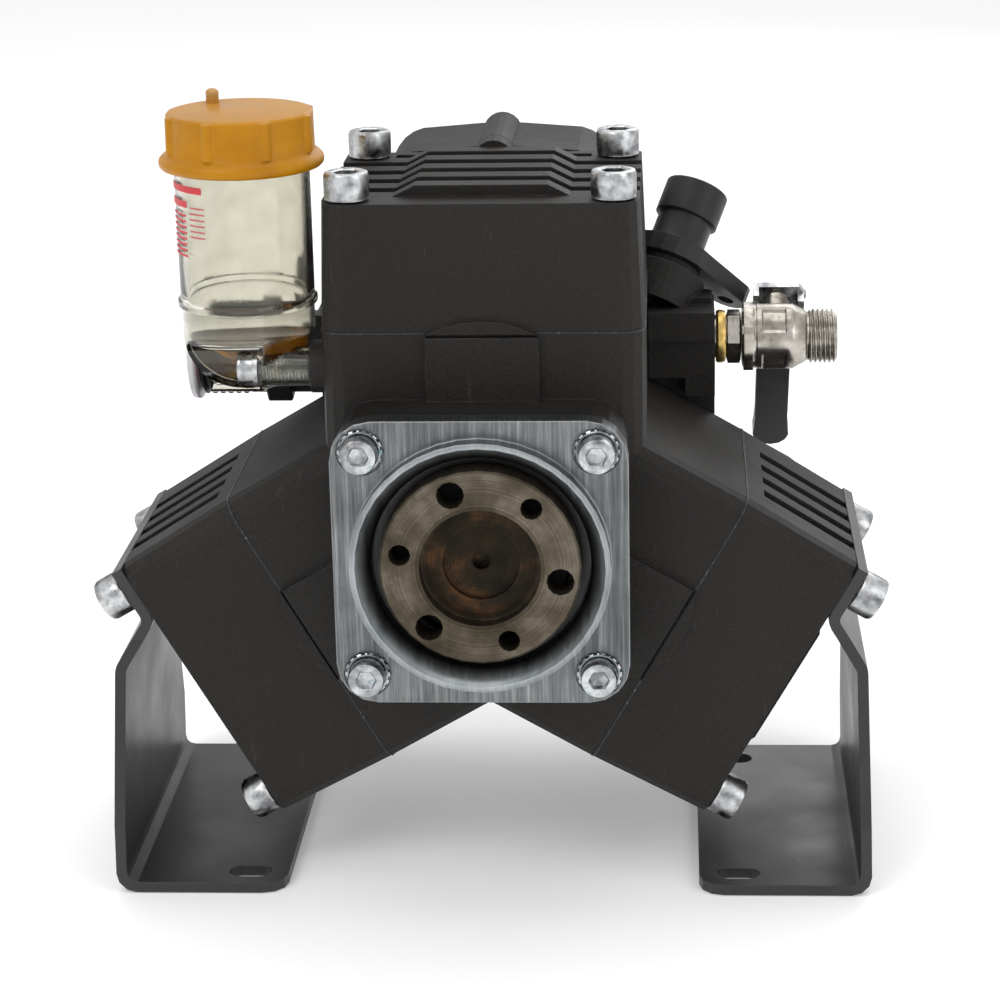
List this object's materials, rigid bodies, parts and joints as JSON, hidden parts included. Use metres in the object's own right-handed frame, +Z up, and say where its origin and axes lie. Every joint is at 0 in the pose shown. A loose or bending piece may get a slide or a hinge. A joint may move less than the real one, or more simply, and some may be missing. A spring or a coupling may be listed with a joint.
{
  "type": "pressure washer pump",
  "caption": "Radial diaphragm pressure pump with a square drive flange, finned heads in a Y, a clear oil reservoir, a ball valve outlet and bent steel feet.",
  "frame": {"origin": "on the ground under the middle of the bounding box, with the feet at z = 0", "axes": "+Z up, +Y from the drive flange back along the shaft, +X towards the ball valve"},
  "size_m": [0.2908, 0.2144, 0.2911],
  "materials": {
    "casting": "warm black paint over a fine sand-cast skin",
    "sheet": "satin black paint, lightly scratched",
    "zinc": "bright zinc plate",
    "flange": "machined, blue-grey",
    "shaft": "turned steel with surface rust in the recess",
    "bearing": "ground",
    "rubber": "matt",
    "cap": "satin, orange-yellow",
    "clear": "clear yellowed plastic",
    "white_plastic": "milky",
    "black_plastic": "moulded",
    "nickel": "nickel plate over brass, warm"
  },
  "bodies": {
    "pump": {"crankcase": "casting", "front_flange": "flange", "front_bearing": "bearing", "rear_bearing": "bearing", "oil_seal": "rubber", "valve_manifold": "casting", "bracket_left": "sheet", "bracket_right": "sheet", "oil_reservoir": "clear", "reservoir_screw": "zinc", "suction_spigot": "black_plastic", "return_port": "casting", "return_seal": "rubber", "return_screw": "zinc", "outlet_nipple": "nickel", "valve_body": "nickel", "flange_screw_top_left": "zinc", "flange_screw_top_right": "zinc", "flange_screw_bottom_left": "zinc", "flange_screw_bottom_right": "zinc", "head_top": "casting", "diaphragm_top": "rubber", "manifold_bolt_top": "zinc", "head_bolt_top_front_a": "zinc", "head_bolt_top_front_b": "zinc", "head_bolt_top_rear_a": "zinc", "head_bolt_top_rear_b": "zinc", "head_right": "casting", "diaphragm_right": "rubber", "manifold_bolt_right": "zinc", "head_bolt_right_front_a": "zinc", "head_bolt_right_front_b": "zinc", "head_bolt_right_rear_a": "zinc", "head_bolt_right_rear_b": "zinc", "head_left": "casting", "diaphragm_left": "rubber", "manifold_bolt_left": "zinc", "head_bolt_left_front_a": "zinc", "head_bolt_left_front_b": "zinc", "head_bolt_left_rear_a": "zinc", "head_bolt_left_rear_b": "zinc"},
    "shaft": {"crankshaft": "shaft"},
    "ring": {"eccentric_ring": "bearing"},
    "ball_valve": {"valve_ball": "nickel", "valve_stem": "nickel", "lever": "zinc", "lever_grip": "black_plastic"},
    "cap": {"oil_cap": "cap"},
    "plug": {"suction_plug": "white_plastic"},
    "piston_top": {"piston_top": "bearing"},
    "suction_valve_top": {"suction_valve_top": "bearing"},
    "delivery_valve_top": {"delivery_valve_top": "bearing"},
    "piston_right": {"piston_right": "bearing"},
    "suction_valve_right": {"suction_valve_right": "bearing"},
    "delivery_valve_right": {"delivery_valve_right": "bearing"},
    "piston_left": {"piston_left": "bearing"},
    "suction_valve_left": {"suction_valve_left": "bearing"},
    "delivery_valve_left": {"delivery_valve_left": "bearing"}
  },
  "joints": [
    {"name": "crankshaft_spin", "type": "hinge", "parent": "pump", "child": "shaft", "pos_m": [0, -0.1049, 0.1349], "axis": [0, 1, 0], "continuous": true},
    {"name": "ring_orbit", "type": "hinge", "parent": "shaft", "child": "ring", "pos_m": [0, -0.0339, 0.1389], "axis": [0, 1, 0], "continuous": true},
    {"name": "piston_top_stroke", "type": "slide", "parent": "pump", "child": "piston_top", "axis": [0, 0, 1], "range_m": [0, 0.008]},
    {"name": "piston_right_stroke", "type": "slide", "parent": "pump", "child": "piston_right", "axis": [0.866, 0, -0.5], "range_m": [0, 0.008]},
    {"name": "piston_left_stroke", "type": "slide", "parent": "pump", "child": "piston_left", "axis": [-0.866, 0, -0.5], "range_m": [0, 0.008]},
    {"name": "suction_valve_top_lift", "type": "slide", "parent": "pump", "child": "suction_valve_top", "axis": [0, -1, 0], "range_m": [0, 0.003], "stiffness_N_per_m": 200},
    {"name": "delivery_valve_top_lift", "type": "slide", "parent": "pump", "child": "delivery_valve_top", "axis": [0, 1, 0], "range_m": [0, 0.003], "stiffness_N_per_m": 200},
    {"name": "suction_valve_right_lift", "type": "slide", "parent": "pump", "child": "suction_valve_right", "axis": [0, -1, 0], "range_m": [0, 0.003], "stiffness_N_per_m": 200},
    {"name": "delivery_valve_right_lift", "type": "slide", "parent": "pump", "child": "delivery_valve_right", "axis": [0, 1, 0], "range_m": [0, 0.003], "stiffness_N_per_m": 200},
    {"name": "suction_valve_left_lift", "type": "slide", "parent": "pump", "child": "suction_valve_left", "axis": [0, -1, 0], "range_m": [0, 0.003], "stiffness_N_per_m": 200},
    {"name": "delivery_valve_left_lift", "type": "slide", "parent": "pump", "child": "delivery_valve_left", "axis": [0, 1, 0], "range_m": [0, 0.003], "stiffness_N_per_m": 200},
    {"name": "lever_turn", "type": "hinge", "parent": "pump", "child": "ball_valve", "pos_m": [0.1079, 0.0341, 0.182], "axis": [0, -0.8192, -0.5736], "range_deg": [0, 90]},
    {"name": "cap_lift", "type": "slide", "parent": "pump", "child": "cap", "axis": [0, 0, 1], "range_m": [0, 0.03]},
    {"name": "plug_pull", "type": "slide", "parent": "pump", "child": "plug", "axis": [-1, 0, 0], "range_m": [0, 0.02]}
  ],
  "couplings": [
    {"joint": "ring_orbit", "follows": "crankshaft_spin", "ratio": -1}
  ]
}
